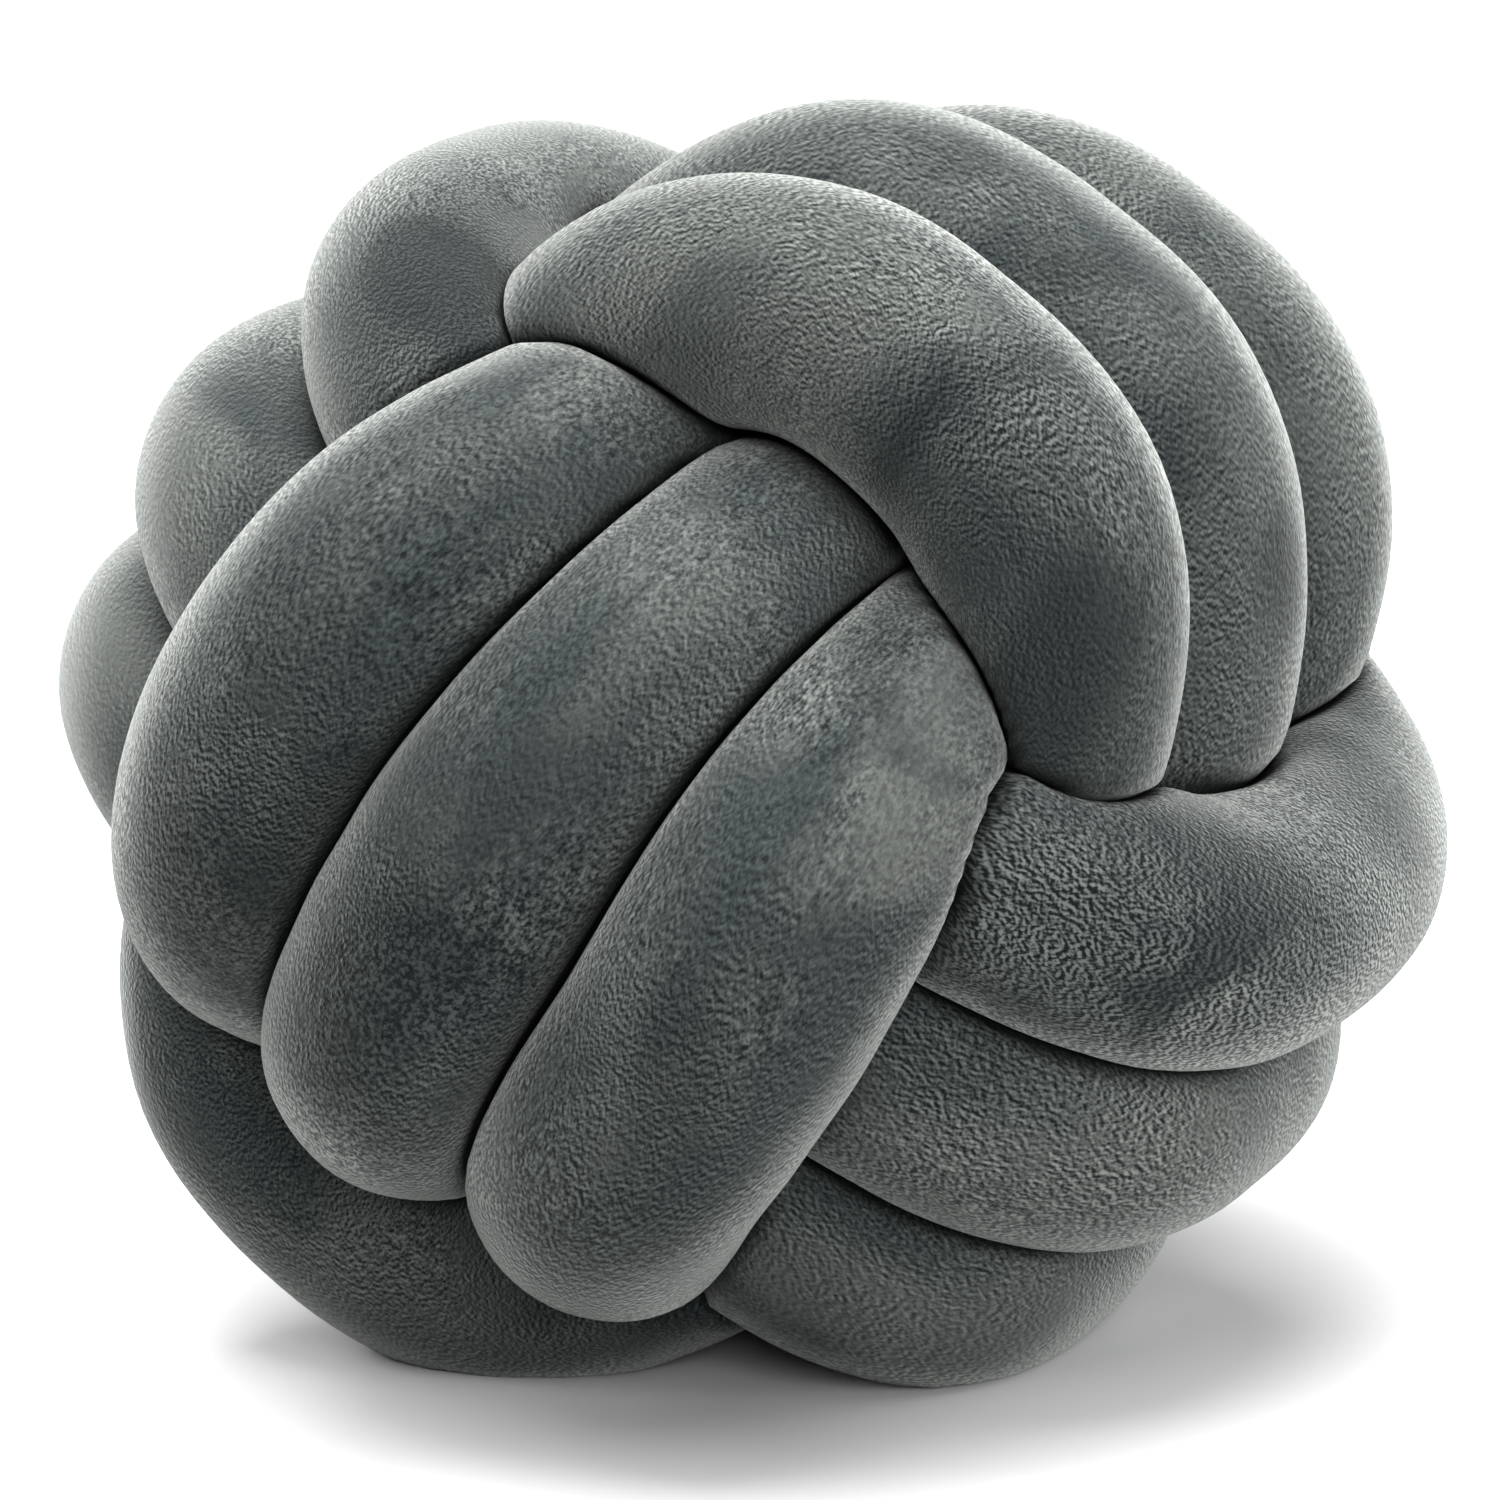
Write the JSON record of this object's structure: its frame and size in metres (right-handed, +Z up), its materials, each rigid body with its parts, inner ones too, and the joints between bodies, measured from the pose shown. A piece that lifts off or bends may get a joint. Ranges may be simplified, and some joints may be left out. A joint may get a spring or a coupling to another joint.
{
  "type": "round knot cushion",
  "caption": "Round cushion: one long stuffed plush tube wound and tucked into a ball knot that rests on the floor or a seat.",
  "frame": {"origin": "on the floor under the middle of the cushion's outline, at the height of its flat spot", "axes": "+Z up, -Y towards the viewer of the picture, +X to that viewer's right"},
  "size_m": [0.3004, 0.307, 0.2677],
  "materials": {
    "plush": "soft short-pile plush, grey-green"
  },
  "bodies": {
    "root": {"stuffed_tube": "plush"}
  },
  "joints": []
}
